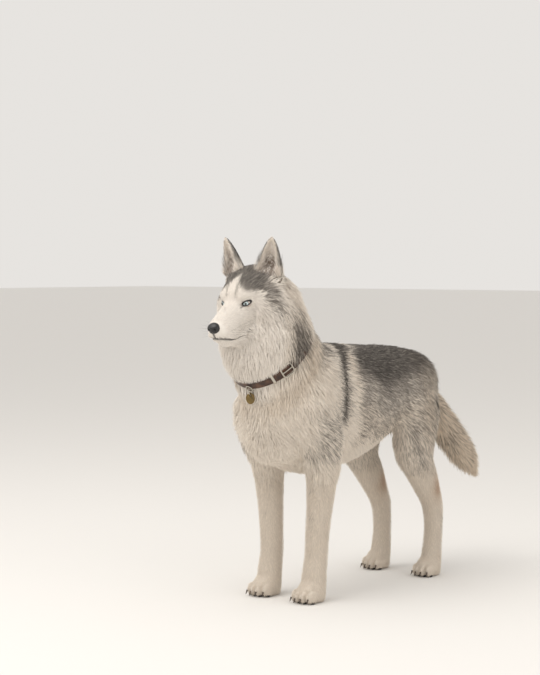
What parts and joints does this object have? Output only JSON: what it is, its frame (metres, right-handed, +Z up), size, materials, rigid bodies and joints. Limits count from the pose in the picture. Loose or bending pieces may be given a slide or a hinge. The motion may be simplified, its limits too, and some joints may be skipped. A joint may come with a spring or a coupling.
{
  "type": "siberian husky",
  "caption": "Life-size standing Siberian husky with grey and cream coat, pale blue eyes, low hanging brush tail and a leather collar with a plain round brass tag.",
  "frame": {"origin": "on the floor under the middle of the dog's bounding box", "axes": "+Z up, the dog looks along -Y, its left side is +X"},
  "size_m": [0.2682, 1.0186, 0.8506],
  "materials": {
    "grey_coat": "dense dark-tipped grey fur",
    "cream_coat": "dense cream fur",
    "nose_leather": "moist pebbled black nose leather",
    "eye_glass": "wet, pale icy-blue iris with a black pupil",
    "collar_leather": "worn dark brown leather",
    "steel": "worn pale metal",
    "brass": "dull bare brass"
  },
  "bodies": {
    "root": {"chest": "grey_coat", "loin_and_rump": "grey_coat", "foreleg_left": "cream_coat", "fore_paw_left": "cream_coat", "thigh_left": "grey_coat", "hock_left": "cream_coat", "hind_paw_left": "cream_coat", "foreleg_right": "cream_coat", "fore_paw_right": "cream_coat", "thigh_right": "grey_coat", "hock_right": "cream_coat", "hind_paw_right": "cream_coat", "tail": "grey_coat", "head": "cream_coat", "nose": "nose_leather", "eye_left": "eye_glass", "ear_left": "grey_coat", "eye_right": "eye_glass", "ear_right": "grey_coat", "neck": "grey_coat", "collar_strap": "collar_leather", "collar_keeper": "steel", "collar_buckle": "steel", "tag_loop": "steel", "tag_ring": "steel", "tag": "brass"}
  },
  "joints": []
}
